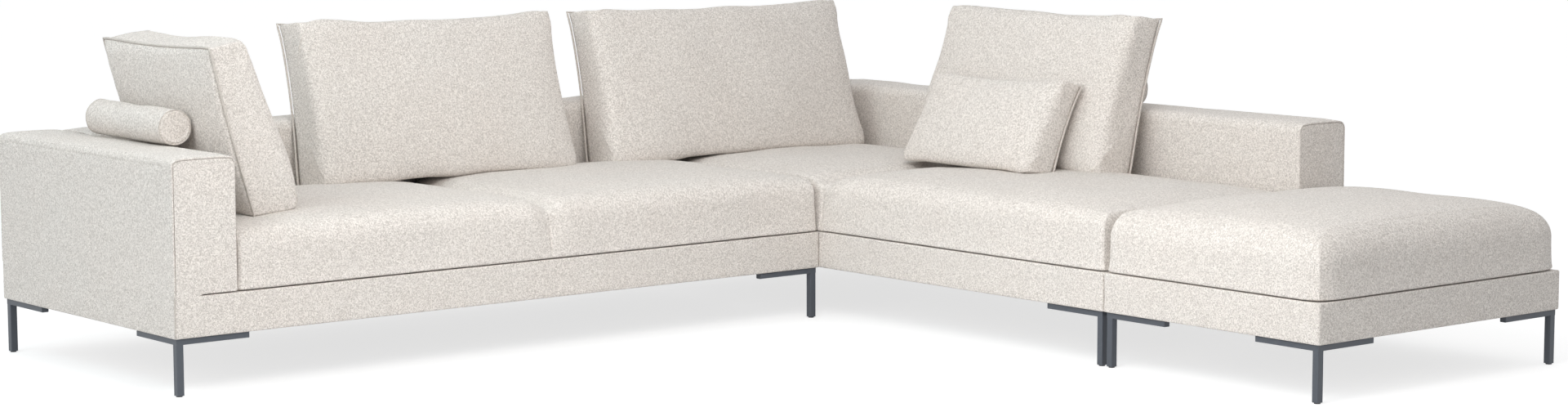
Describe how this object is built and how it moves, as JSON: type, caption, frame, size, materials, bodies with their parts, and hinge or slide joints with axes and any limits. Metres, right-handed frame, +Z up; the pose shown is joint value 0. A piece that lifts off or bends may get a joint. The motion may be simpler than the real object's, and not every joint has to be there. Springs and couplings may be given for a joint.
{
  "type": "corner sofa",
  "caption": "Modular corner sofa with low arm, padded backrests, deep seats, a pouf at the end of its wing, loose back cushions, bolsters and slim steel legs.",
  "frame": {"origin": "floor, under the middle of the box round the whole group at rest", "axes": "+X along the long wing from the arm to the corner, +Y from the seats to the long backrest, +Z up"},
  "size_m": [3.1306, 2.9206, 0.8954],
  "materials": {
    "cover_fabric": "pale oatmeal woven cloth, matt, with a fine herringbone",
    "filling": "white fleece and fibre filling",
    "foam": "cut foam",
    "timber": "planed softwood, unfinished",
    "board": "plywood and board, unfinished",
    "leg_steel": "satin dark blue-grey powder coat",
    "fixing_steel": "zinc plated",
    "glide_plastic": "matt black",
    "webbing": "woven elastic strap",
    "dust_felt": "thin dark non-woven sheet"
  },
  "bodies": {
    "left_unit": {"left_long_rails": "timber", "left_cross_rails": "timber", "left_straps": "webbing", "left_base_cover": "cover_fabric", "left_dust_cover": "dust_felt", "left_seat_foam": "foam", "left_seat_cover": "cover_fabric", "left_arm_frame": "board", "left_arm_cover": "cover_fabric", "left_back_frame": "board", "left_back_cover": "cover_fabric", "left_legs": "leg_steel", "left_leg_bolts": "fixing_steel", "left_glides": "glide_plastic", "left_link_plates": "fixing_steel", "left_link_screws": "fixing_steel"},
    "corner_unit": {"corner_long_rails": "timber", "corner_cross_rails": "timber", "corner_straps": "webbing", "corner_base_cover": "cover_fabric", "corner_dust_cover": "dust_felt", "corner_seat_foam": "foam", "corner_seat_cover": "cover_fabric", "corner_rear_frame": "board", "corner_side_frame": "board", "corner_rear_cover": "cover_fabric", "corner_side_cover": "cover_fabric", "corner_legs": "leg_steel", "corner_leg_bolts": "fixing_steel", "corner_glides": "glide_plastic", "corner_link_hooks": "fixing_steel", "corner_link_screws": "fixing_steel"},
    "pouf": {"pouf_long_rails": "timber", "pouf_cross_rails": "timber", "pouf_straps": "webbing", "pouf_base_cover": "cover_fabric", "pouf_dust_cover": "dust_felt", "pouf_foam": "foam", "pouf_cover": "cover_fabric", "pouf_legs": "leg_steel", "pouf_leg_bolts": "fixing_steel", "pouf_glides": "glide_plastic"},
    "arm_cushion": {"arm_cushion_cover": "cover_fabric", "arm_cushion_fill": "filling"},
    "arm_roll": {"arm_roll_cover": "cover_fabric", "arm_roll_fill": "filling"},
    "left_cushion": {"left_cushion_cover": "cover_fabric", "left_cushion_fill": "filling"},
    "middle_cushion": {"middle_cushion_cover": "cover_fabric", "middle_cushion_fill": "filling"},
    "right_cushion": {"right_cushion_cover": "cover_fabric", "right_cushion_fill": "filling"},
    "back_roll": {"back_roll_cover": "cover_fabric", "back_roll_fill": "filling"},
    "small_cushion": {"small_cushion_cover": "cover_fabric", "small_cushion_fill": "filling"}
  },
  "joints": [
    {"name": "corner_lift", "type": "slide", "parent": "left_unit", "child": "corner_unit", "axis": [0, 0, 1], "range_m": [0, 0.06]},
    {"name": "pouf_pull_out", "type": "slide", "parent": "left_unit", "child": "pouf", "axis": [0, -1, 0], "range_m": [0, 0.6]},
    {"name": "arm_cushion_lift", "type": "slide", "parent": "left_unit", "child": "arm_cushion", "axis": [0, 0, 1], "range_m": [0, 0.5]},
    {"name": "arm_roll_off", "type": "slide", "parent": "left_unit", "child": "arm_roll", "axis": [-0.9397, 0, 0.342], "range_m": [0, 0.3]},
    {"name": "left_cushion_lift", "type": "slide", "parent": "left_unit", "child": "left_cushion", "axis": [0, 0, 1], "range_m": [0, 0.5]},
    {"name": "middle_cushion_lift", "type": "slide", "parent": "corner_unit", "child": "middle_cushion", "axis": [0, 0, 1], "range_m": [0, 0.5]},
    {"name": "right_cushion_lift", "type": "slide", "parent": "corner_unit", "child": "right_cushion", "axis": [0, 0, 1], "range_m": [0, 0.5]},
    {"name": "back_roll_off", "type": "slide", "parent": "corner_unit", "child": "back_roll", "axis": [0.9397, 0, 0.342], "range_m": [0, 0.3]},
    {"name": "small_cushion_lift", "type": "slide", "parent": "right_cushion", "child": "small_cushion", "axis": [0, 0, 1], "range_m": [0, 0.5]}
  ]
}
